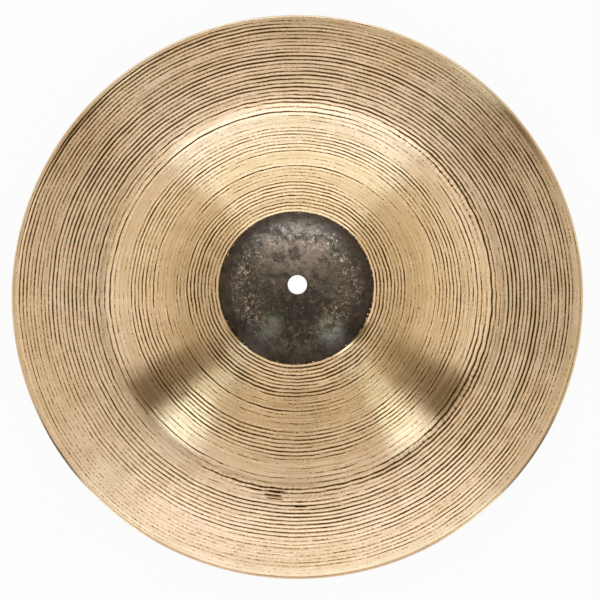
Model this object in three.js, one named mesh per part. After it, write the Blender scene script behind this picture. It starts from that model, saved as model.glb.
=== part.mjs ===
// China cymbal: one disc of cast bronze, hammered to shape and turned on a lathe.
// It lies bell up. Lengths are millimetres and +Z is up. The origin is under the centre of the
// hole, at the level of the bench that the bend touches.

import * as THREE from "three";

// Radii, from the hole outwards.
const holeRadius = 6.75;
const seatRadius = 12.5; // edge of the flat round the hole, where the felt washer sits
const bellRadius = 54.6; // foot of the bell
const bendRadius = 138.5; // middle of the bend where the bow ends and the flange turns up
const rimRadius = 203.2; // 16 inch across

// Heights of the sheet's middle above the point where the bow and the flange would meet.
const flangeHeight = 12.2; // rim
const bowHeight = 18.8; // foot of the bell
const bellHeight = 13.2; // from the foot of the bell up to the seat

// Sheet thickness. The lathe leaves it thickest at the bell and thinnest at the rim.
const seatThickness = 1.3;
const footThickness = 1.05;
const bendThickness = 0.85;
const rimThickness = 0.65;

// Radii of the two rounded corners. The bend is a wide one.
const footFillet = 4;
const bendFillet = 28;

// Slopes of the sheet in degrees, going outwards. Downhill is negative.
const bellFootSlope = -43;
const bowTopSlope = -6;
const bowEndSlope = -17;
const flangeStartSlope = 3;
const rimSlope = 14;

// How far each curve follows its end slopes, as shares of its span.
const bellReachShares = [0.72, 0.22];
const bowReachShares = [0.35, 0.35];
const flangeReachShares = [0.4, 0.2];

// Facets.
const sectors = 96;
const bellSteps = 8;
const bowSteps = 8;
const flangeSteps = 8;
const footSteps = 2;
const bendSteps = 4;

/** The point that lies a distance further along a line of the given slope. */
function along(point, slope, distance) {
  const angle = THREE.MathUtils.degToRad(slope);
  return new THREE.Vector2(
    point.x + distance * Math.cos(angle),
    point.y + distance * Math.sin(angle),
  );
}

/** A curve that leaves its start and meets its end at the given slopes. */
function sweep(start, startSlope, end, endSlope, reachShares) {
  const span = start.distanceTo(end);
  return new THREE.CubicBezierCurve(
    start,
    along(start, startSlope, span * reachShares[0]),
    along(end, endSlope, -span * reachShares[1]),
    end,
  );
}

/** A rounded corner: where it leaves the first slope, its curve, and where it joins the second. */
function corner(point, slopeIn, slopeOut, fillet) {
  const halfTurn = THREE.MathUtils.degToRad(Math.abs(slopeOut - slopeIn) / 2);
  const trim = fillet * Math.tan(halfTurn);
  const enter = along(point, slopeIn, -trim);
  const leave = along(point, slopeOut, trim);
  return { enter, leave, curve: new THREE.QuadraticBezierCurve(enter, point, leave) };
}

/** The middle of the sheet from the hole to the rim, as curves with their step counts. */
function middleLine() {
  const seatHeight = bowHeight + bellHeight;
  const hole = new THREE.Vector2(holeRadius, seatHeight);
  const seat = new THREE.Vector2(seatRadius, seatHeight);
  const footPoint = new THREE.Vector2(bellRadius, bowHeight);
  const bendPoint = new THREE.Vector2(bendRadius, 0);
  const rim = new THREE.Vector2(rimRadius - rimThickness / 2, flangeHeight);
  const foot = corner(footPoint, bellFootSlope, bowTopSlope, footFillet);
  const bend = corner(bendPoint, bowEndSlope, flangeStartSlope, bendFillet);
  return [
    [new THREE.LineCurve(hole, seat), 1],
    [sweep(seat, 0, foot.enter, bellFootSlope, bellReachShares), bellSteps],
    [foot.curve, footSteps],
    [sweep(foot.leave, bowTopSlope, bend.enter, bowEndSlope, bowReachShares), bowSteps],
    [bend.curve, bendSteps],
    [sweep(bend.leave, flangeStartSlope, rim, rimSlope, flangeReachShares), flangeSteps],
  ];
}

/** The sheet's thickness at a radius, tapering evenly between the four named places. */
function thicknessAt(radius) {
  const places = [
    [seatRadius, seatThickness],
    [bellRadius, footThickness],
    [bendRadius, bendThickness],
    [rimRadius, rimThickness],
  ];
  const outer = places.findIndex(([placeRadius]) => radius <= placeRadius);
  if (outer === 0) return seatThickness;
  if (outer < 0) return rimThickness;
  const [innerRadius, innerThickness] = places[outer - 1];
  const [outerRadius, outerThickness] = places[outer];
  const share = (radius - innerRadius) / (outerRadius - innerRadius);
  return THREE.MathUtils.lerp(innerThickness, outerThickness, share);
}

/** The closed section: out along the top face, round the rim, and back along the underside. */
function sheetSection() {
  const top = [];
  const under = [];
  const addPair = (curve, t) => {
    const middle = curve.getPoint(t);
    const tangent = curve.getTangent(t);
    const normal = new THREE.Vector2(-tangent.y, tangent.x);
    const half = thicknessAt(middle.x) / 2;
    top.push(middle.clone().addScaledVector(normal, half));
    under.unshift(middle.clone().addScaledVector(normal, -half));
    return middle.addScaledVector(tangent, half);
  };
  let rimNose;
  for (const [curve, steps] of middleLine()) {
    if (top.length === 0) addPair(curve, 0);
    for (let step = 1; step <= steps; step++) rimNose = addPair(curve, step / steps);
  }
  return [...top, rimNose, ...under, top[0].clone()];
}

/** The cymbal as a revolved section, stood on the lowest point of its underside. */
function cymbalGeometry() {
  const section = sheetSection();
  const lowest = Math.min(...section.map((point) => point.y));
  for (const point of section) point.y -= lowest;
  const geometry = new THREE.LatheGeometry(section.reverse(), sectors);
  geometry.rotateX(Math.PI / 2);
  return geometry;
}

const bronze = new THREE.MeshStandardMaterial({
  color: 0xcfa873,
  roughness: 0.32,
  metalness: 1,
});

const cymbal = new THREE.Mesh(cymbalGeometry(), bronze);
cymbal.name = "cymbal";

const chinaCymbal = new THREE.Group();
chinaCymbal.name = "china_cymbal";
chinaCymbal.add(cymbal);

export default chinaCymbal;
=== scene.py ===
import math

import bpy
import numpy as np
from mathutils import Matrix, Vector


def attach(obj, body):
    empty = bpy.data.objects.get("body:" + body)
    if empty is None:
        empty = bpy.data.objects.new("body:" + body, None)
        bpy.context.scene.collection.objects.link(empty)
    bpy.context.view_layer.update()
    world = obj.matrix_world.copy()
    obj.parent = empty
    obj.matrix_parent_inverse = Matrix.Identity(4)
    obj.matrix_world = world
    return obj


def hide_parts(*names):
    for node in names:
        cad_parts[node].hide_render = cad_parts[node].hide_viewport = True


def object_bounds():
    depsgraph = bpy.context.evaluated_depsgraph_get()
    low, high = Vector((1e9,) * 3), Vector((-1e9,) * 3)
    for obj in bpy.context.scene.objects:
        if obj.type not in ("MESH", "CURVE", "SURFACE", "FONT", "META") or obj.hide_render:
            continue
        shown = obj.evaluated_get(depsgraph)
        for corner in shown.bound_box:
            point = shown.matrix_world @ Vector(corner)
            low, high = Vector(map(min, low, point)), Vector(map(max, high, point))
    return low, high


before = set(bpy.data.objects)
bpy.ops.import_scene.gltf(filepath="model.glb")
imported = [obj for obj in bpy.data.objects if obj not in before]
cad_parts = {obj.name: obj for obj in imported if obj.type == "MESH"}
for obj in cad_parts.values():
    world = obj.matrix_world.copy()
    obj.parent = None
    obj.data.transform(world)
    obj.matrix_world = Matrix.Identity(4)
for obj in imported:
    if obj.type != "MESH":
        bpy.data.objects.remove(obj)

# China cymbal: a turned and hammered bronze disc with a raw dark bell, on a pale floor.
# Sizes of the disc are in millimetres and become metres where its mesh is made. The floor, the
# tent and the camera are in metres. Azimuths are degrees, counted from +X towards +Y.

MM = 0.001
CAD_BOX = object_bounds()
NODE = "cymbal"

# Reading the CAD disc: how much a face of one side looks up or down, and how near a point of its
# section lies to the plane through the axis.
SIDE_FACING = 0.3
NEAR_PLANE = 0.01

# Turned surface: zones of lathe passes from the bell outwards, with a ridge between two passes.
# Each zone has its inner radius, outer radius, number of passes and how dark its ridges are.
# The ridges' darkness is dark patina in the grooves and painted shade of the ridges.
PASS_ZONES = [
    (54.6, 79.8, 10, 0.62),
    (79.8, 89.9, 4, 0.06),
    (89.9, 101.9, 4, -0.02),
    (101.9, 120.4, 7, 0.50),
    (120.4, 133.4, 4, 0.18),
    (133.4, 140.9, 2, 0.32),
    (140.9, 152.4, 4, 0.38),
    (152.4, 177.2, 9, 0.80),
    (177.2, 197.0, 8, 0.53),
    (197.0, 201.8, 2, 0.20),
]
# Where in a pass its rings lie, as shares from ridge to ridge.
RING_SHARES = [0.0, 0.1, 0.5, 0.9]
RIDGE_HEIGHT = 0.06
RIM_ROUND_RINGS = [202.4, 202.7, 202.95, 203.1]
RIDGE_SEEDS = (5, 6)

# Single ridges that stand out: radius, middle azimuth, half the azimuth covered, darkness.
BOLD_RIDGES = [
    (69.72, 226, 20, 0.95),
    (72.24, 230, 24, 1.05),
    (74.76, 236, 24, 1.05),
    (87.4, 238, 40, 0.90),
    (89.9, 95, 50, 0.70),
    (126.9, 12, 26, 0.50),
    (130.15, 6, 36, 0.85),
    (133.4, 125, 62, 0.95),
    (133.4, 170, 46, 1.00),
    (133.4, 334, 24, 0.80),
    (137.15, 330, 26, 1.10),
    (137.15, 210, 14, 0.65),
    (140.9, 14, 66, 1.25),
    (140.9, 86, 26, 0.80),
    (140.9, 312, 46, 1.00),
    (140.9, 258, 18, 0.85),
    (143.775, 60, 78, 0.95),
    (143.775, 140, 80, 0.85),
    (143.775, 300, 60, 0.95),
    (146.65, 55, 26, 0.80),
    (149.525, 138, 34, 0.85),
    (152.4, 30, 120, 0.85),
    (197.0, 140, 62, 1.00),
    (197.0, 8, 20, 0.50),
    (197.0, 226, 20, 0.60),
    (199.4, 136, 50, 0.85),
]

# Places where the ridges fade: radius, azimuth, radial and angular half widths, share of the
# darkness taken away.
RIDGE_FADE_PLACES = [
    (188, 228, 22, 50, 0.78),
    (164, 215, 14, 34, 0.33),
    (147, 232, 8, 22, 0.60),
    (190, 278, 10, 24, 0.50),
    (199, 270, 4, 36, 0.80),
    (199, 328, 4, 22, 0.80),
    (199, 52, 4, 16, 0.60),
    (176, 272, 10, 20, 0.25),
    (148, 350, 5, 18, 0.40),
    (86, 25, 8, 30, 0.30),
    (126, 185, 8, 34, 0.60),
    (126, 150, 5, 14, 0.40),
    (126, 312, 7, 16, 0.75),
    (112, 332, 12, 20, 0.35),
    (112, 95, 12, 30, 0.35),
    (96, 55, 8, 45, 0.50),
    (72, 336, 14, 20, 0.50),
    (72, 90, 10, 42, 0.30),
    (68, 20, 10, 20, 0.15),
    (62, 95, 8, 45, 0.20),
]

# How the darkness of a ridge comes and goes along it: lengths of the waves and their sizes. Then
# how much one ridge can differ from its zone, how near to a bold ridge's radius it lies to be
# that ridge, and the most that a ridge can show.
DASH_WAVES = [(310, 0.16), (120, 0.14), (47, 0.14), (21, 0.10)]
RIDGE_SPREAD = 0.15
BOLD_REACH = 0.6
MOST_SHOWN = 1.25

# Short deep nicks between ridges, painted black as the shade inside them: radius, azimuth,
# length, width.
NICKS = [
    (143.7, 258.0, 11, 1.3),
    (143.1, 264.0, 15, 1.5),
    (146.0, 263.2, 15, 1.5),
    (148.4, 263.8, 14, 1.2),
    (150.0, 270.6, 6, 1.2),
    (153.2, 270.8, 11, 1.4),
    (87.4, 350.8, 2.2, 1.0),
]

# Rows of chatter marks on the crease: radius, half the radial reach, middle azimuth, half the
# azimuth covered, how clear the marks are. Then the length from one mark to the next.
# The marks are painted dark, as the shade of their small dents.
CHATTER_ROWS = [
    (137.3, 3.2, 40, 24, 1.00),
    (141.8, 2.0, 30, 20, 0.70),
    (139.6, 3.6, -41, 24, 0.90),
    (140.5, 3.4, -102, 16, 0.65),
]
CHATTER_PITCH = 4.4

# Sides of the disc, as directions: where the ridges are most even and the painted shade on the rim
# is darkest, and where the painted shade round the bell falls, with painted light near the bell on
# the opposite side, and where the bell is more scratched.
EVEN_RIDGE_AND_RIM_SHADE_SIDE = (0.9, 0.4, 0.0)
SHADE_AND_SCRATCH_SIDE = (0.0, 1.0, 0.0)

# Colours of the turned bronze: its body, the tints that wander over it, and its ridges, with
# painted shade and painted highlights among them.
BRONZE_INSIDE = (0.70, 0.490, 0.285)
BRONZE_OUTSIDE = (0.76, 0.565, 0.395)
BRONZE_INSIDE_TO_OUTSIDE = (85.0, 155.0)
DEEP_TINT = (0.64, 0.455, 0.25)
PINK_TINT = (0.70, 0.48, 0.33)
DAPPLE_TINT = (0.48, 0.32, 0.15)
FAN_TINT = (0.46, 0.31, 0.14)
# Painted shade near the bell, except on the -Y side, where it is painted lighter.
SHADE_BY_BELL = (0.42, 0.27, 0.13)
LIGHT_BY_BELL = (0.88, 0.66, 0.43)
HAIR_TINT = (0.40, 0.25, 0.11)
# Painted shade on the rim, darkest on one side.
RIM_PAINTED_SHADE = (0.50, 0.38, 0.22)
# Painted shade of the chatter dents on the crease.
CHATTER_DENT_SHADE = (0.25, 0.13, 0.06)
# Painted highlight on the lips beside the ridges.
LIP_HIGHLIGHT = (0.90, 0.74, 0.52)
# Ridge colours: dark patina in the grooves and painted shade of the ridges.
RIDGE_SKIRT = (0.36, 0.165, 0.02)
RIDGE_BROWN = (0.20, 0.080, 0.010)
RIDGE_BLACK = (0.020, 0.005, 0.0)

# Colours of the raw bell.
RAW_SKIN = (0.096, 0.075, 0.054)
RAW_DARK = (0.032, 0.026, 0.019)
RAW_BLOTCH = (0.028, 0.022, 0.016)
RAW_RUST = (0.38, 0.25, 0.15)
RAW_SPECK = (0.030, 0.023, 0.017)
RAW_RUBBED = (0.64, 0.50, 0.38)
# Painted shade towards the bell's foot.
RAW_FOOT_SHADE = (0.028, 0.018, 0.010)

# Roughness from one end of a pattern to the other, and heights of the fine relief.
HAIR_ROUGHNESS = (0.215, 0.245)
RIDGE_ROUGHNESS = 0.45
RAW_ROUGHNESS = (0.36, 0.28)
HAIR_HEIGHT = 0.007
RIDGE_DEPTH = 0.03
MOTTLE_HEIGHT = 0.35
SPECK_HEIGHT = 0.05
RAW_METALLIC = 0.85

# Painted light on the raw bell: a painted highlight on its +Y side, painted shade on its -Y side,
# a darker patch towards -X, and painted reflections of the two strip lights on its -Y side. Then
# x, y and radius of each, its share and its colour.
BELL_PAINTED_LIGHT = [
    (0, 34, 44, 0.85, (0.275, 0.212, 0.165)),
    (-2, -18, 36, 0.94, (0.030, 0.027, 0.020)),
    (-36, 6, 15, 0.50, (0.055, 0.046, 0.033)),
    (-19, -29, 13, 0.80, (0.215, 0.212, 0.165)),
    (23, -32, 14, 0.90, (0.330, 0.320, 0.250)),
]

# Hammering: radii of the rows of blows, the distance from blow to blow, a blow's size and depth,
# the shares by which they vary, and how far a blow strays from its place.
BLOW_SEED = 16
BLOW_ROWS = [64, 78, 93, 108, 122, 134, 147, 162, 178, 192]
BLOW_SPACING = 19.0
BLOW_RADIUS = 11.5
BLOW_RADIUS_SHARES = (0.65, 1.25)
BLOW_DEPTH = 0.06
BLOW_DEPTH_SHARES = (0.2, 1.4)
BLOW_STRAY = 4
BLOW_STRAY_SHARE = 0.35

# How the rings stray from round: the lathe's offset from the rim, how far a dent drags them, their
# waves as the number in a turn and the size, and their kinks round the crease as radius, radial
# half width, number in a turn and size.
LATHE_OFFSET = 0.9
RING_DRAG = 3.0
RING_WAVES = [(5, 0.16), (13, 0.10), (29, 0.07), (47, 0.06)]
CREASE_KINKS = (141, 8, 61, 0.22)

# Mesh. The turned bronze reaches a little way under the raw bell's ragged edge.
SECTORS = 272
BELL_RINGS = 34
HOLE_EDGE_ROUND = 0.35
HOLE_EDGE_SHARES = [0.0, 0.1, 0.4]
UNDERSIDE_PASS = 5.2
UNDERSIDE_SHARES = [0.0, 0.12, 0.55]
UNDERSIDE_DARKNESS = 0.45
RAW_EDGE = 54.6
RAGGED_WIDTH = 1.5
SHARP_ANGLE = 50

# Radii from where to where an effect grows from nothing to its full size.
OFFSET_BEGINS, OFFSET_ENDS = (12, 37), (203, 198)
WAVES_BEGIN, WAVES_END = (RAW_EDGE - 1, RAW_EDGE + 3), (202.4, 198.4)
DENTS_END = (201, 195)

# Map for the bake: azimuth across, radius upwards, the underside below the top.
MAP_ACROSS = (0.005, 0.995)
MAP_TOP = (0.31, 0.99)
MAP_UNDER = (0.01, 0.28)


def side_section(up):
    """Radius and height of the CAD disc's rings on its upper or lower side, in millimetres."""
    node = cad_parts[NODE]
    places = [node.matrix_world @ vertex.co / MM for vertex in node.data.vertices]
    ring_points = set()
    for face in node.data.polygons:
        if (face.normal.z if up else -face.normal.z) < SIDE_FACING:
            continue
        for index in face.vertices:
            place = places[index]
            if abs(place.y) < NEAR_PLANE and place.x > 0:
                ring_points.add((round(place.x, 2), round(place.z, 2)))
    return sorted(ring_points)


def smooth_curve(points):
    """A function that runs through the points with a steady slope."""
    x, y = np.array(points).T
    span = np.diff(x)
    rise = np.diff(y) / span
    slope = np.empty_like(x)
    slope[1:-1] = (rise[:-1] * span[1:] + rise[1:] * span[:-1]) / (span[:-1] + span[1:])
    slope[0], slope[-1] = rise[0], rise[-1]

    def at(value):
        k = np.clip(np.searchsorted(x, value) - 1, 0, len(span) - 1)
        t = np.clip((value - x[k]) / span[k], 0, 1)
        straight = y[k] + t * (y[k + 1] - y[k])
        bend_in = (slope[k] - rise[k]) * span[k] * t * (1 - t) ** 2
        bend_out = (rise[k] - slope[k + 1]) * span[k] * t * t * (1 - t)
        return straight + bend_in + bend_out

    return at


def grow(value, span):
    """From zero to one while the value goes from the first to the second number of a span."""
    return np.clip((value - span[0]) / (span[1] - span[0]), 0, 1)


def between(share, span):
    """The place that lies at a share of a span."""
    return span[0] + share * (span[1] - span[0])


def turn_between(azimuth, other):
    """The signed angle from one azimuth to another, from -180 to 180 degrees."""
    return (azimuth - other + 180) % 360 - 180


def top_ridges():
    """Radius and darkness of each ridge of the top face."""
    ridges = []
    for inner, outer, passes, darkness in PASS_ZONES:
        for number in range(passes):
            ridges.append((inner + (outer - inner) * number / passes, darkness))
    ridges.append((PASS_ZONES[-1][1], PASS_ZONES[-1][3]))
    return ridges


def under_ridges():
    """Radius and darkness of each ridge of the underside, from the rim inwards."""
    outer = UNDER_SECTION[-2][0]
    passes = round((outer - RAW_EDGE) / UNDERSIDE_PASS)
    radii = [outer + (RAW_EDGE - outer) * number / passes for number in range(passes + 1)]
    return [(radius, UNDERSIDE_DARKNESS) for radius in radii]


def pass_rings(ridges, shares):
    """Rings between ridges: radius, distance to the nearest ridge, ridge number and height. The
    number of a ring in mid-pass is halfway between those of its two ridges."""
    rings = []
    for number in range(len(ridges) - 1):
        start, pitch = ridges[number][0], ridges[number + 1][0] - ridges[number][0]
        for share in shares:
            gap = min(share, 1 - share) * abs(pitch)
            nearest = number + 0.5 * ((share > 0.4) + (share > 0.6))
            cut = 4 * share * (1 - share) * RIDGE_HEIGHT
            rings.append((start + share * pitch, gap, nearest, -cut))
    return rings


def top_rings():
    """The rings of the top face, from the hole outwards."""
    hole_radius = TOP_SECTION[0][0]
    bell_radii = np.linspace(hole_radius + HOLE_EDGE_ROUND, RAW_EDGE, BELL_RINGS, endpoint=False)
    rounding = hole_radius + HOLE_EDGE_ROUND * np.array(HOLE_EDGE_SHARES)
    rings = [(radius, RAW_EDGE - radius + 1, 0, 0) for radius in [*rounding, *bell_radii]]
    ridges = top_ridges()
    rings += pass_rings(ridges, RING_SHARES)
    last, last_radius = len(ridges) - 1, ridges[-1][0]
    rings.append((last_radius, 0, last, 0))
    for radius in [*RIM_ROUND_RINGS, TOP_SECTION[-1][0]]:
        rings.append((radius, radius - last_radius + 1, last, 0))
    return np.array(rings)


def under_rings():
    """The rings of the underside, from the rim inwards."""
    ridges = under_ridges()
    rings = pass_rings(ridges, UNDERSIDE_SHARES)
    inner = UNDER_SECTION[0][0]
    bell = np.linspace(RAW_EDGE, inner + HOLE_EDGE_ROUND, BELL_RINGS // 2)
    rounding = inner + HOLE_EDGE_ROUND * np.array(HOLE_EDGE_SHARES[::-1])
    for radius in [*bell, *rounding]:
        rings.append((radius, RAW_EDGE - radius + 1, len(ridges) - 1, 0))
    return np.array(rings)


def hammer_blows():
    """Middle x, middle y, radius and depth of each hammer blow, in rows round the disc."""
    random = np.random.default_rng(BLOW_SEED)
    blows = []
    for row_radius in BLOW_ROWS:
        count = round(2 * math.pi * row_radius / BLOW_SPACING)
        start = random.uniform(0, 2 * math.pi)
        for number in range(count):
            place = number + random.uniform(-BLOW_STRAY_SHARE, BLOW_STRAY_SHARE)
            azimuth = start + place * 2 * math.pi / count
            radius = row_radius + random.uniform(-BLOW_STRAY, BLOW_STRAY)
            size = BLOW_RADIUS * random.uniform(*BLOW_RADIUS_SHARES)
            depth = BLOW_DEPTH * random.uniform(*BLOW_DEPTH_SHARES)
            blows.append((radius * math.cos(azimuth), radius * math.sin(azimuth), size, depth))
    return blows


def hammered(x, y):
    """How far the hammering pushes the sheet down at each place."""
    depth = np.zeros_like(x)
    for blow_x, blow_y, size, blow_depth in hammer_blows():
        share = ((x - blow_x) ** 2 + (y - blow_y) ** 2) / size**2
        near = share < 1
        depth[near] += blow_depth * (1 - share[near]) ** 2
    return depth


def ring_wobble(radius, azimuth):
    """How far a ring strays from round: the lathe's offset from the rim, small waves that drift
    from ring to ring, the drag of the dents and the kinks round the crease."""
    inside = grow(radius, OFFSET_BEGINS) * grow(radius, OFFSET_ENDS)
    offset = -LATHE_OFFSET * np.cos(azimuth) * inside
    waves = 0
    for number, (count, size) in enumerate(RING_WAVES):
        drift = np.sin(radius / (7 + 3 * number) + number) * 1.6 + radius / 23 * (number - 1.5)
        waves = waves + size * np.sin(count * azimuth + drift)
    x, y = radius * np.cos(azimuth), radius * np.sin(azimuth)
    dragged = (hammered(x, y) - BLOW_DEPTH / 3) * RING_DRAG
    crease, reach, count, size = CREASE_KINKS
    near_crease = np.exp(-(((radius - crease) / reach) ** 2))
    kinks = size * np.sin(count * azimuth + radius / 2) * near_crease
    turned = grow(radius, WAVES_BEGIN) * grow(radius, WAVES_END)
    return offset + (waves + dragged + kinks) * turned


def ridge_strengths(ridges, azimuth, seed):
    """How strongly each ridge shows at each azimuth. Zero is unseen and one is dark all across.
    It joins the zone's darkness, the bold ridges, the waves along the ridge and the places where
    the ridges fade."""
    random = np.random.default_rng(seed)
    degrees = np.degrees(azimuth)
    strengths = []
    for radius, darkness in ridges:
        dark = np.full(len(azimuth), darkness + random.uniform(-RIDGE_SPREAD, RIDGE_SPREAD))
        for place, middle, half_width, boldness in BOLD_RIDGES:
            if abs(radius - place) < BOLD_REACH:
                shown = 1 - (turn_between(degrees, middle) / half_width) ** 4
                dark = np.maximum(dark, np.clip(shown, 0, 1) * boldness)
        for length, size in DASH_WAVES:
            count = round(2 * math.pi * radius / length)
            dark = dark + size * np.sin(count * azimuth + random.uniform(0, 2 * math.pi))
        for place, middle, spread, half_width, taken in RIDGE_FADE_PLACES:
            away = ((radius - place) / spread) ** 2
            away = away + (turn_between(degrees, middle) / half_width) ** 2
            dark = dark * (1 - taken * np.exp(-away))
        strengths.append(np.clip(dark, 0, MOST_SHOWN))
    return np.array(strengths)


def ring_strengths(rings, strengths):
    """The strength of the nearest ridge for each ring, or of both where it lies between them."""
    below, above = np.floor(rings[:, 2]).astype(int), np.ceil(rings[:, 2]).astype(int)
    return (strengths[below] + strengths[above]) / 2


def cymbal_mesh():
    """The disc as one closed mesh: rings from the hole over the top, the rim and the underside."""
    top, under = top_rings(), under_rings()
    rings = np.vstack([top, under])
    azimuth = np.arange(SECTORS) * 2 * math.pi / SECTORS
    ring_count = len(rings)
    is_top = np.arange(ring_count)[:, None] < len(top)
    side = np.where(is_top, 1, -1)
    radius = rings[:, :1] + ring_wobble(rings[:, :1], azimuth) * is_top
    top_height, under_height = smooth_curve(TOP_SECTION), smooth_curve(UNDER_SECTION)
    height = np.where(is_top, top_height(radius), under_height(radius))
    height = height + rings[:, 3:4] * side
    hole_radius = TOP_SECTION[0][0]
    edge = np.clip(HOLE_EDGE_ROUND - (radius - hole_radius), 0, HOLE_EDGE_ROUND)
    height = height - (HOLE_EDGE_ROUND - np.sqrt(HOLE_EDGE_ROUND**2 - edge**2)) * side
    x, y = radius * np.cos(azimuth), radius * np.sin(azimuth)
    height = height - hammered(x, y) * grow(radius, DENTS_END)
    height = np.clip(height, 0, CAD_BOX[1][2] / MM)

    places = np.stack([x, y, height], axis=-1).reshape(-1, 3) * MM
    ring, sector = np.meshgrid(np.arange(ring_count), np.arange(SECTORS), indexing="ij")
    next_ring, next_sector = (ring + 1) % ring_count, (sector + 1) % SECTORS
    corners = [(ring, sector), (next_ring, sector), (next_ring, next_sector), (ring, next_sector)]
    quads = np.stack([a * SECTORS + b for a, b in corners], axis=-1).reshape(-1, 4)

    mesh = bpy.data.meshes.new("cymbal_bronze")
    mesh.from_pydata(places.tolist(), [], quads.tolist())
    add_values(mesh, "ridge_gap", np.repeat(rings[:, 1], SECTORS))
    add_values(mesh, "radius", np.repeat(rings[:, 0], SECTORS))
    add_values(mesh, "upper_face", np.repeat(is_top[:, 0], SECTORS))
    seed, seed_under = RIDGE_SEEDS
    shown = ring_strengths(top, ridge_strengths(top_ridges(), azimuth, seed))
    shown_under = ring_strengths(under, ridge_strengths(under_ridges(), azimuth, seed_under))
    add_values(mesh, "strength", np.vstack([shown, shown_under]).ravel())
    add_bake_map(mesh, rings, len(top), ring, sector)
    mesh.polygons.foreach_set("use_smooth", [True] * len(mesh.polygons))
    raw = (ring + 1 < len(top)) & (rings[ring, 0] < RAW_EDGE - RAGGED_WIDTH)
    raw |= (ring >= len(top)) & (rings[ring, 0] < RAW_EDGE)
    mesh.polygons.foreach_set("material_index", raw.ravel().astype(int))
    mesh.update()
    return mesh


def add_values(mesh, name, values):
    """Stores one number on each vertex, for the materials."""
    layer = mesh.attributes.new(name, "FLOAT", "POINT")
    layer.data.foreach_set("value", values.astype(np.float32))


def add_bake_map(mesh, rings, top_count, ring, sector):
    """The map that the materials are baked on."""
    rim, hole = TOP_SECTION[-1][0], TOP_SECTION[0][0]
    share = (rings[:, 0] - hole) / (rim - hole)
    is_top = np.arange(len(rings)) < top_count
    v = np.where(is_top, between(share, MAP_TOP), between(share, MAP_UNDER))
    next_ring = (ring + 1) % len(rings)
    across = np.stack([sector, sector, sector + 1, sector + 1], -1) / SECTORS
    up = np.stack([v[ring], v[next_ring], v[next_ring], v[ring]], -1)
    layer = mesh.uv_layers.new(name="OFBake")
    layer.data.foreach_set("uv", np.stack([between(across, MAP_ACROSS), up], -1).ravel())


class Graph:
    """Adds nodes to a material or a world. Each method gives the socket that holds its result."""

    def __init__(self, owner):
        owner.use_nodes = True
        self.tree = owner.node_tree
        self.tree.nodes.clear()

    def add(self, kind, inputs=(), output=0, **settings):
        node = self.tree.nodes.new(kind)
        for name, value in settings.items():
            setattr(node, name, value)
        for key, value in dict(inputs).items():
            socket = node.inputs[key]
            if isinstance(value, bpy.types.NodeSocket):
                self.tree.links.new(value, socket)
            elif socket.type == "RGBA":
                socket.default_value = (*value, 1.0)
            else:
                socket.default_value = value
        return node.outputs[output] if node.outputs else node

    def math(self, operation, *values):
        return self.add("ShaderNodeMath", dict(enumerate(values)), operation=operation)

    def sum(self, first, second):
        return self.math("ADD", first, second)

    def difference(self, first, second):
        return self.math("SUBTRACT", first, second)

    def distance(self, first, second):
        return self.math("ABSOLUTE", self.difference(first, second))

    def larger(self, first, second):
        return self.math("MAXIMUM", first, second)

    def multiply(self, *values):
        result = values[0]
        for value in values[1:]:
            result = self.math("MULTIPLY", result, value)
        return result

    def step(self, value, low, high, low_result=0.0, high_result=1.0):
        """A smooth step from one result to the other while the value goes from low to high."""
        inputs = {0: value, 1: low, 2: high, 3: low_result, 4: high_result}
        return self.add("ShaderNodeMapRange", inputs, interpolation_type="SMOOTHSTEP")

    def mix(self, share, first, second):
        return self.sum(first, self.multiply(share, self.difference(second, first)))

    def mix_colour(self, share, first, second):
        inputs = {0: share, 6: first, 7: second}
        return self.add("ShaderNodeMix", inputs, output=2, data_type="RGBA")

    def noise(self, vector, scale, detail=2.0, roughness=0.5, distortion=0.0):
        inputs = {"Vector": vector, "Scale": scale, "Detail": detail}
        inputs.update({"Roughness": roughness, "Distortion": distortion})
        return self.add("ShaderNodeTexNoise", inputs)

    def attribute(self, name):
        return self.add("ShaderNodeAttribute", output=2, attribute_name=name)

    def vector(self, x, y, z):
        return self.add("ShaderNodeCombineXYZ", {0: x, 1: y, 2: z})

    def vector_sum(self, first, second):
        return self.add("ShaderNodeVectorMath", {0: first, 1: second}, operation="ADD")

    def scaled(self, vector, factor):
        return self.add("ShaderNodeVectorMath", {0: vector, 3: factor}, operation="SCALE")

    def towards(self, vector, direction):
        """How far a vector reaches in a direction."""
        inputs = {0: vector, 1: direction}
        return self.add("ShaderNodeVectorMath", inputs, 1, operation="DOT_PRODUCT")


class Place:
    """Where a point of the disc lies: in millimetres, flat on the disc's plane, its x and y, the
    direction from the axis, the radius of its ring before it strays, and one on the upper face."""

    def __init__(self, graph):
        place = graph.add("ShaderNodeTexCoord", output=3)
        self.mm = graph.scaled(place, 1 / MM)
        split = graph.tree.nodes.new("ShaderNodeSeparateXYZ")
        graph.tree.links.new(self.mm, split.inputs[0])
        self.x, self.y = split.outputs[0], split.outputs[1]
        self.flat = graph.vector(self.x, self.y, 0.0)
        self.outward = graph.add("ShaderNodeVectorMath", {0: self.flat}, operation="NORMALIZE")
        self.radius = graph.attribute("radius")
        self.upper = graph.attribute("upper_face")


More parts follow.
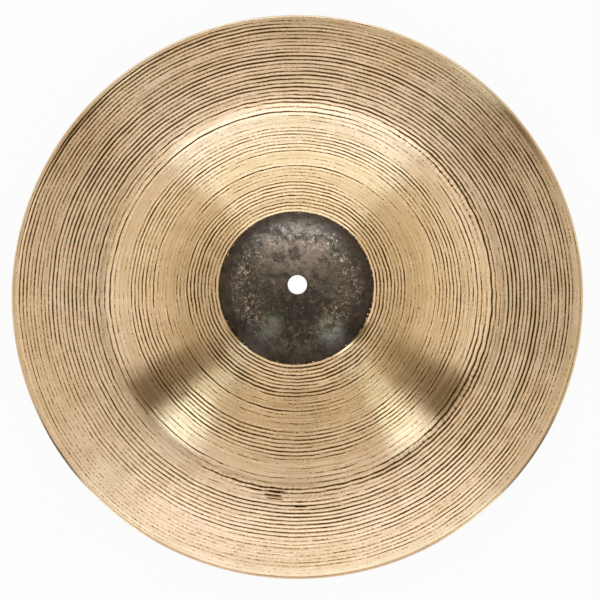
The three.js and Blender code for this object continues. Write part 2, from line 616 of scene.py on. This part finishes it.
def raw_patina(graph, place):
    """The raw bell: colour, roughness and height of its cast and quenched skin, with a painted
    highlight, painted shade, painted reflections of the strip lights and painted shade at its foot.
    """
    mottle = graph.noise(place.mm, 0.11, 5.0, 0.72)
    blotches = graph.noise(place.mm, 0.21, 5.0, 0.75, 0.6)
    specks = graph.noise(place.mm, 0.60, 2.0, 0.6)
    drift = graph.difference(mottle, 0.5)
    skin = RAW_SKIN
    # Painted highlight, painted shade, a darker patch and painted reflections of the strip lights.
    for x, y, size, share, painted_patch in BELL_PAINTED_LIGHT:
        middle = {0: place.flat, 1: (x, y, 0.0)}
        away = graph.add("ShaderNodeVectorMath", middle, 1, operation="DISTANCE")
        away = graph.sum(away, graph.multiply(drift, size * 1.2))
        skin = graph.mix_colour(graph.step(away, size, size * 0.25, 0.0, share), skin, painted_patch)
    tints = (
        (graph.step(mottle, 0.55, 0.38, 0.0, 0.78), RAW_DARK),
        (graph.step(blotches, 0.49, 0.34, 0.0, 0.60), RAW_BLOTCH),
        (graph.step(blotches, 0.52, 0.68, 0.0, 0.32), RAW_RUST),
        (graph.step(specks, 0.48, 0.34, 0.0, 0.30), RAW_SPECK),
        (graph.multiply(rubbed_marks(graph, place, blotches, specks), 0.74), RAW_RUBBED),
    )
    for share, tint in tints:
        skin = graph.mix_colour(share, skin, tint)
    # Painted shade towards the bell's foot, reaching further in on the -Y side.
    foot_shade_place = graph.sum(place.radius, graph.multiply(drift, 12.0))
    foot_shade_place = graph.difference(foot_shade_place, graph.multiply(place.y, 0.08))
    skin = graph.mix_colour(graph.step(foot_shade_place, 33.0, 50.5, 0.0, 0.64), skin, RAW_FOOT_SHADE)
    roughness = graph.step(mottle, 0.3, 0.7, *RAW_ROUGHNESS)
    height = graph.multiply(mottle, MOTTLE_HEIGHT)
    height = graph.sum(height, graph.multiply(specks, SPECK_HEIGHT))
    return skin, roughness, height


def rubbed_marks(graph, place, blotches, specks):
    """Where the bell is rubbed bright: flecks and fine curved scratches in a ring round its
    shoulder, fewer of them on one side."""
    flecks = graph.multiply(graph.step(specks, 0.60, 0.72), graph.step(blotches, 0.50, 0.62), 0.45)
    scratches = 0.0
    patterns = ((place.mm, 0.12, 0.5, 0.014), (place.flat, 0.24, 0.4, 0.024))
    for vector, scale, distortion, width in patterns:
        pattern = graph.noise(vector, scale, 2.0, 0.5, distortion)
        scratch = graph.step(graph.distance(pattern, 0.5), width, width * 0.3)
        scratches = graph.larger(scratches, scratch)
    strokes = graph.step(graph.noise(place.mm, 0.26, 2.0, 0.6), 0.46, 0.55)
    scratches = graph.multiply(scratches, strokes, graph.step(specks, 0.34, 0.48, 0.30, 1.0))
    inside = graph.step(place.radius, 24.0, 37.0, 0.16, 1.0)
    outside = graph.step(place.radius, 49.0, 45.0)
    sparse = graph.step(graph.towards(place.outward, SHADE_AND_SCRATCH_SIDE), -0.95, -0.55, 0.45, 1.0)
    return graph.multiply(graph.larger(flecks, scratches), inside, outside, sparse)


def dark_ridges(graph, place, marks):
    """How much the brown skirts and the dark cores of the ridges between lathe passes cover, how
    dark the cores are, and the painted highlights on the lips beside them, each from zero to one.
    The skirts and cores are dark patina in the grooves and painted shade of the ridges."""
    gap = graph.attribute("ridge_gap")
    own_place = graph.vector(0.0, 0.0, graph.multiply(place.radius, 0.9))
    dash_place = graph.vector_sum(graph.scaled(place.mm, 0.35), own_place)
    dashes = graph.noise(dash_place, 0.45, 2.0, 0.6)
    beads = graph.noise(place.mm, 0.75, 1.0, 0.5)
    even = graph.step(graph.towards(place.outward, EVEN_RIDGE_AND_RIM_SHADE_SIDE), -0.5, 0.5, 0.15, 0.55)
    even = graph.multiply(graph.step(place.radius, 148.0, 158.0), even)
    change = graph.multiply(graph.difference(dashes, 0.5), graph.difference(1.0, even))
    change = graph.sum(change, graph.multiply(graph.difference(beads, 0.5), 1.3))
    change = graph.sum(change, graph.multiply(marks, 0.45))
    strength = graph.larger(graph.sum(graph.attribute("strength"), change), 0.0)
    width = graph.step(strength, 0.1, 1.3, 0.25, 0.70)
    present = graph.step(strength, 0.05, 0.45)
    skirt = graph.step(gap, graph.multiply(width, 0.35), graph.multiply(width, 1.75), 0.85, 0.0)
    core = graph.step(gap, graph.multiply(width, 0.45), width, 1.0, 0.0)
    nick = nicks(graph, place)
    skirt, core = graph.multiply(skirt, present), graph.multiply(core, present)
    dark = graph.larger(graph.step(strength, 0.30, 0.95), nick)
    core = graph.larger(core, nick)
    lip_highlight_begins = graph.multiply(width, 1.3)
    lip_highlight = graph.step(gap, lip_highlight_begins, graph.sum(lip_highlight_begins, 0.4))
    lip_highlight = graph.multiply(lip_highlight, graph.step(strength, 0.1, 0.8))
    return skirt, core, dark, lip_highlight


def chatter(graph, place):
    """Short ticks across the rings, where the tool bounced on the crease, painted as the shade of
    the small dents it left.
    """
    azimuth = graph.math("ARCTAN2", place.y, place.x)
    wander = graph.noise(place.mm, 0.09, 2.0, 0.5)
    drifted = graph.sum(place.radius, graph.multiply(graph.difference(wander, 0.5), 4.0))
    rows = 0.0
    for radius, reach, middle, half_width, share in CHATTER_ROWS:
        turn = graph.distance(azimuth, math.radians(middle))
        near = graph.step(turn, math.radians(half_width), math.radians(half_width * 0.7))
        band = graph.step(graph.distance(drifted, radius), reach, reach * 0.5, 0.0, share)
        rows = graph.larger(rows, graph.multiply(near, band))
    count = round(2 * math.pi * CHATTER_ROWS[0][0] / CHATTER_PITCH)
    beat = graph.sum(graph.multiply(azimuth, count), graph.multiply(wander, 16.0))
    ticks = graph.step(graph.math("SINE", beat), -0.1, 0.8)
    uneven = graph.step(graph.noise(place.mm, 0.22, 2.0, 0.5), 0.36, 0.58, 0.35, 1.0)
    return graph.multiply(ticks, rows, uneven, place.upper)


def nicks(graph, place):
    """The short deep nicks in the ridges, each along an arc round the axis, painted black as the
    shade inside them.
    """
    mask = 0.0
    for radius, azimuth, length, width in NICKS:
        turn = math.radians(azimuth)
        along = graph.towards(place.flat, (-math.sin(turn), math.cos(turn), 0.0))
        out = graph.towards(place.flat, (math.cos(turn), math.sin(turn), 0.0))
        along = graph.math("ABSOLUTE", along)
        drop = graph.math("DIVIDE", graph.multiply(along, along), 2 * radius)
        across = graph.distance(graph.sum(out, drop), radius)
        body = graph.step(along, length / 2, length * 0.3)
        shape = graph.step(across, width / 2, width * 0.2)
        nick = graph.multiply(graph.step(out, 0.0, 1.0), body, shape)
        mask = graph.larger(mask, nick)
    return graph.multiply(mask, place.upper)


def turned_body(graph, place, hair):
    """Colour of the turned bronze between its ridges: warm tints and fine rings, painted shade
    round the bell and on the rim, and painted light near the bell on one side.
    """
    fan_turn = graph.scaled(place.outward, 6.0)
    fan_radius = graph.vector(0.0, 0.0, graph.multiply(place.radius, 0.03))
    fan = graph.noise(graph.vector_sum(fan_turn, fan_radius), 1.2, 2.0, 0.5)
    tone = graph.noise(place.mm, 0.012, 2.0, 0.5)
    dapple = graph.noise(place.mm, 0.075, 2.0, 0.6)
    blush = graph.noise(place.mm, 0.045, 3.0, 0.6)
    toward_rim_shade_side = graph.towards(place.outward, EVEN_RIDGE_AND_RIM_SHADE_SIDE)
    shaded_side = graph.step(graph.towards(place.outward, SHADE_AND_SCRATCH_SIDE), -0.75, -0.15)
    lit_side = graph.difference(1.0, shaded_side)
    clean = graph.step(toward_rim_shade_side, -0.3, -0.95, 1.0, 0.55)
    # Painted shade on the rim, darkest towards one side.
    rim_painted_shade = graph.step(toward_rim_shade_side, -0.9, 0.7, 0.02, 0.40)

    outside = graph.step(place.radius, *BRONZE_INSIDE_TO_OUTSIDE)
    body = graph.mix_colour(outside, BRONZE_INSIDE, BRONZE_OUTSIDE)
    tints = (
        (graph.step(tone, 0.38, 0.65, 0.0, 0.35), DEEP_TINT),
        (graph.step(blush, 0.50, 0.72, 0.0, 0.40), PINK_TINT),
        (graph.step(dapple, 0.56, 0.32, 0.0, 0.18), DAPPLE_TINT),
        (graph.step(fan, 0.36, 0.64, 0.22, 0.0), FAN_TINT),
        # Painted shade near the bell, and painted light near it on the -Y side.
        (graph.multiply(graph.step(place.radius, 96.0, 84.0), shaded_side, 0.30), SHADE_BY_BELL),
        (graph.multiply(graph.step(place.radius, 84.0, 60.0), lit_side, 0.50), LIGHT_BY_BELL),
        (graph.multiply(graph.step(hair, 0.38, 0.58, 0.52, 0.0), clean), HAIR_TINT),
        (graph.multiply(rim_painted_shade, graph.step(place.radius, 184.0, 200.0)), RIM_PAINTED_SHADE),
    )
    for share, tint in tints:
        body = graph.mix_colour(share, body, tint)
    return body


def lathed_bronze():
    """Turned bronze with its ridges, and the ragged edge of the raw bell."""
    material = bpy.data.materials.new("lathed_bronze")
    graph = Graph(material)
    place = Place(graph)
    ring_place = graph.vector(0.0, 0.0, place.radius)
    hair_place = graph.vector_sum(graph.scaled(place.outward, 1.4), ring_place)
    hair = graph.noise(hair_place, 0.95, 3.0, 0.75)
    marks = chatter(graph, place)
    skirts, cores, dark, lip_highlights = dark_ridges(graph, place, marks)
    base = turned_body(graph, place, hair)
    # Painted shade of the chatter dents.
    base = graph.mix_colour(graph.multiply(marks, 0.85), base, CHATTER_DENT_SHADE)
    # Painted highlight on the lips beside the ridges.
    base = graph.mix_colour(graph.multiply(lip_highlights, 0.55), base, LIP_HIGHLIGHT)
    # Ridge skirts and cores: dark patina in the grooves and painted shade of the ridges.
    base = graph.mix_colour(skirts, base, RIDGE_SKIRT)
    base = graph.mix_colour(cores, base, graph.mix_colour(dark, RIDGE_BROWN, RIDGE_BLACK))

    patina, patina_roughness, patina_height = raw_patina(graph, place)
    ragged = graph.difference(graph.noise(place.flat, 0.40, 3.0, 0.6), 0.5)
    edge = graph.sum(place.radius, graph.multiply(ragged, 5.0))
    raw = graph.step(edge, RAW_EDGE + 0.15, RAW_EDGE - 0.15)
    base = graph.mix_colour(raw, base, patina)
    roughness = graph.step(hair, 0.3, 0.7, *HAIR_ROUGHNESS)
    roughness = graph.mix(cores, roughness, RIDGE_ROUGHNESS)
    roughness = graph.mix(raw, roughness, patina_roughness)
    height = graph.multiply(hair, HAIR_HEIGHT)
    height = graph.difference(height, graph.multiply(cores, RIDGE_DEPTH))
    height = graph.mix(raw, height, patina_height)
    bump = graph.add("ShaderNodeBump", {"Strength": 1.0, "Distance": MM, "Height": height})
    tangent = graph.add("ShaderNodeTangent", direction_type="RADIAL", axis="Z")
    shader = graph.add("ShaderNodeBsdfPrincipled", {
        "Base Color": base, "Roughness": roughness, "Metallic": 1.0,
        "Anisotropic": 1.0, "Anisotropic Rotation": 0.25, "Tangent": tangent, "Normal": bump,
    })
    graph.add("ShaderNodeOutputMaterial", {"Surface": shader})
    return material


def raw_bell():
    """The bell as it left the furnace and the press: dark, mottled, rubbed at its shoulder, with
    painted highlight, shade and reflections on it.
    """
    material = bpy.data.materials.new("raw_bell")
    graph = Graph(material)
    patina, roughness, height = raw_patina(graph, Place(graph))
    bump = graph.add("ShaderNodeBump", {"Strength": 1.0, "Distance": MM, "Height": height})
    shader = graph.add("ShaderNodeBsdfPrincipled", {
        "Base Color": patina, "Roughness": roughness, "Metallic": RAW_METALLIC, "Normal": bump,
    })
    graph.add("ShaderNodeOutputMaterial", {"Surface": shader})
    return material


def make_cymbal():
    cymbal = bpy.data.objects.new("cymbal_bronze", cymbal_mesh())
    bpy.context.scene.collection.objects.link(cymbal)
    cymbal.data.materials.append(lathed_bronze())
    cymbal.data.materials.append(raw_bell())
    cymbal.data.set_sharp_from_angle(angle=math.radians(SHARP_ANGLE))
    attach(cymbal, "root")
    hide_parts(NODE)


# Floor: pale and matt. The camera and reflections see it as white under the hole. Between two
# distances from there the white makes way for a little of the matt surface with its shadow.
FLOOR_SIZE = 8.0
FLOOR_GREY = (0.85, 0.85, 0.85)
FLOOR_GLOW = 0.93
FLOOR_GLOW_FALLS = (0.03, 0.12)
WHITE = (1.0, 1.0, 1.0)

# The world's light on the object. The camera and reflections see it as white.
WORLD_LIGHT = 0.8

# Light tent over the cymbal. Its pole leans back by as much as the camera leans forward. Then
# the degrees from one of its points to the next, and its light from the pole down as the angle
# from the pole and the colour.
TENT_RADIUS = 2.0
TENT_STEP = 2
TENT_LIGHT = [
    (0, (1.22, 1.22, 1.19)),
    (7, (1.20, 1.20, 1.17)),
    (12, (1.04, 1.04, 1.00)),
    (19, (0.66, 0.61, 0.47)),
    (32, (0.70, 0.63, 0.49)),
    (42, (1.16, 1.14, 1.10)),
    (50, (1.45, 1.46, 1.50)),
    (60, (1.10, 1.11, 1.13)),
    (98, (1.08, 1.08, 1.08)),
]

# Softboxes, strips and flags hung in the tent. Each has the azimuths of its sides at its lower
# edge, how far it slants towards its upper edge, the angles from the pole of its upper and lower
# edges, the softness of its sides and its colour. Their upper edges share one softness.
PANEL_EDGE_SOFTNESS = 4
TENT_PANELS = [
    (238, 303, 0, 18, 41, 8, (0.65, 0.58, 0.46)),
    (261, 279, 0, 18, 32, 6, (0.24, 0.19, 0.12)),
    (240, 328, 0, 7, 17, 10, (1.66, 1.61, 1.52)),
    (158, 202, 0, 5, 22, 8, (0.44, 0.42, 0.36)),
    (334, 356, 0, 9, 22, 8, (0.52, 0.49, 0.42)),
    (340, 407, 0, 23, 37, 10, (1.28, 1.26, 1.16)),
    (141, 193, 0, 24, 37, 10, (1.22, 1.20, 1.09)),
    (40, 144, 0, 6, 32, 14, (1.16, 1.17, 1.12)),
    (52, 130, 0, 8, 27, 5, (1.84, 1.82, 1.90)),
    (49, 131, 0, 27, 45, 5, (1.96, 2.42, 2.80)),
    (49, 134, 0, 43, 90, 5, (1.30, 1.44, 1.64)),
    (216, 238, 0, 12, 34, 6, (0.20, 0.17, 0.10)),
    (299, 312, 0, 12, 33, 6, (0.20, 0.16, 0.10)),
    (221, 234, 1, 37, 50, 3, (3.20, 3.95, 4.20)),
    (219, 236, 2, 49, 90, 4, (1.60, 1.88, 2.18)),
    (302, 314, 3, 37, 50, 3, (3.20, 3.95, 4.20)),
    (303, 318, 0, 49, 90, 4, (1.66, 1.98, 2.30)),
    (201, 216, 3, 14, 27, 5, (0.56, 0.48, 0.32)),
    (325, 340, -4, 14, 27, 5, (0.58, 0.50, 0.34)),
    (203, 218, 2, 26, 90, 4, (0.12, 0.09, 0.04)),
    (320, 337, -2, 27, 90, 4, (0.15, 0.12, 0.06)),
]

# The camera and the arm that holds it, as the cymbal sees them: azimuth, angle from the pole,
# radius and softness in degrees, colour.
CAMERA_SHADE = (270, 4, 4, 3, (0.12, 0.11, 0.10))


def tent_light(azimuth, angle):
    """Colour of the tent's light in one direction."""
    angles, colours = zip(*TENT_LIGHT)
    light = np.array([np.interp(angle, angles, channel) for channel in zip(*colours)])
    for side_from, side_to, slant, upper, lower, softness, panel_light in TENT_PANELS:
        share_down = (angle - upper) / (lower - upper)
        if not 0 <= share_down <= 1:
            continue
        middle = (side_from + side_to) / 2 + slant * (1 - share_down)
        inside = (side_to - side_from) / 2 - abs(turn_between(azimuth, middle))
        cover = min(max(inside / softness + 0.5, 0), 1)
        cover *= min(share_down * (lower - upper) / PANEL_EDGE_SOFTNESS, 1)
        light = light + (np.array(panel_light) - light) * cover
    side, down, size, softness, shade = CAMERA_SHADE
    turn = math.radians(turn_between(azimuth, side))
    away = math.hypot(angle * math.sin(turn), angle * math.cos(turn) - down)
    cover = min(max((size - away) / softness + 0.5, 0), 1)
    return light + (np.array(shade) - light) * cover


def make_tent():
    """A dome that lights the cymbal and shows in it, and that the camera looks through."""
    columns, rows = 360 // TENT_STEP, TENT_LIGHT[-1][0] // TENT_STEP
    lean = Matrix.Rotation(math.radians(-CAMERA_TILT), 4, "X")
    places, lights = [], []
    for row in range(rows + 1):
        angle = row * TENT_STEP
        across, up = math.sin(math.radians(angle)), math.cos(math.radians(angle))
        for column in range(columns):
            azimuth = column * TENT_STEP
            turn = math.radians(azimuth)
            outward = Vector((across * math.cos(turn), across * math.sin(turn), up))
            places.append(lean @ outward * TENT_RADIUS)
            lights.append((*tent_light(azimuth, angle), 1.0))
    faces = []
    for row in range(rows):
        for column in range(columns):
            beside = (column + 1) % columns
            near, far = row * columns, (row + 1) * columns
            faces.append((near + column, near + beside, far + beside, far + column))
    mesh = bpy.data.meshes.new("light_tent")
    mesh.from_pydata(places, [], faces)
    layer = mesh.color_attributes.new("light", "FLOAT_COLOR", "POINT")
    layer.data.foreach_set("color", np.array(lights, dtype=np.float32).ravel())
    tent = bpy.data.objects.new("light_tent", mesh)
    bpy.context.scene.collection.objects.link(tent)
    material = bpy.data.materials.new("light_tent")
    graph = Graph(material)
    light = graph.add("ShaderNodeVertexColor", layer_name="light")
    glow = graph.add("ShaderNodeEmission", {"Color": light, "Strength": 1.0})
    graph.add("ShaderNodeOutputMaterial", {"Surface": glow})
    mesh.materials.append(material)
    tent.visible_camera = False
    tent.visible_diffuse = False
    tent.visible_shadow = False


def make_floor():
    half = FLOOR_SIZE / 2
    corners = [(-half, -half, 0), (half, -half, 0), (half, half, 0), (-half, half, 0)]
    mesh = bpy.data.meshes.new("floor")
    mesh.from_pydata(corners, [], [(0, 1, 2, 3)])
    floor = bpy.data.objects.new("floor", mesh)
    bpy.context.scene.collection.objects.link(floor)
    material = bpy.data.materials.new("floor_white")
    graph = Graph(material)
    matt = graph.add("ShaderNodeBsdfDiffuse", {"Color": FLOOR_GREY})
    white = graph.add("ShaderNodeEmission", {"Color": WHITE, "Strength": 1.0})
    place = graph.add("ShaderNodeTexCoord", output=3)
    away = graph.add("ShaderNodeVectorMath", {0: place}, output=1, operation="LENGTH")
    glow = graph.step(away, *FLOOR_GLOW_FALLS, 1.0, FLOOR_GLOW)
    share = graph.multiply(seen_directly(graph), glow)
    surface = graph.add("ShaderNodeMixShader", {0: share, 1: matt, 2: white})
    graph.add("ShaderNodeOutputMaterial", {"Surface": surface})
    mesh.materials.append(material)


def seen_directly(graph):
    """One for the camera, reflections and what is seen through glass."""
    rays = graph.tree.nodes.new("ShaderNodeLightPath")
    seen = graph.larger(rays.outputs["Is Camera Ray"], rays.outputs["Is Glossy Ray"])
    return graph.larger(seen, rays.outputs["Is Transmission Ray"])


def make_world():
    world = bpy.data.worlds.new("studio")
    bpy.context.scene.world = world
    graph = Graph(world)
    strength = graph.mix(seen_directly(graph), WORLD_LIGHT, 1.0)
    background = graph.add("ShaderNodeBackground", {"Color": WHITE, "Strength": strength})
    graph.add("ShaderNodeOutputWorld", {"Surface": background})


# Camera: where the photograph was taken from, seen from the middle of the rim.
IMAGE_SIZE = 600
SENSOR_WIDTH = 36
FOCAL_PX = 1687
CLIP_END = 50
CAMERA_DISTANCE = 1.2
CAMERA_TILT = 9.4
RIM_MIDDLE_PX = (297.4, 289.2)


def make_camera():
    camera_data = bpy.data.cameras.new("camera")
    camera = bpy.data.objects.new("camera", camera_data)
    bpy.context.scene.collection.objects.link(camera)
    tilt = math.radians(CAMERA_TILT)
    back = Vector((0, -math.sin(tilt), math.cos(tilt)))
    rim_middle = Vector((0, 0, TOP_SECTION[-2][1] * MM))
    camera.location = rim_middle + back * CAMERA_DISTANCE
    camera.rotation_mode = "QUATERNION"
    camera.rotation_quaternion = (-back).to_track_quat("-Z", "Y")
    camera_data.sensor_width = SENSOR_WIDTH
    camera_data.lens = SENSOR_WIDTH * FOCAL_PX / IMAGE_SIZE
    camera_data.shift_x = (IMAGE_SIZE / 2 - RIM_MIDDLE_PX[0]) / IMAGE_SIZE
    camera_data.shift_y = (RIM_MIDDLE_PX[1] - IMAGE_SIZE / 2) / IMAGE_SIZE
    camera_data.clip_end = CLIP_END
    bpy.context.scene.camera = camera


TOP_SECTION = side_section(True)
UNDER_SECTION = side_section(False)
bpy.context.scene.view_settings.view_transform = "Standard"
make_camera()
make_floor()
make_world()
make_tent()
make_cymbal()
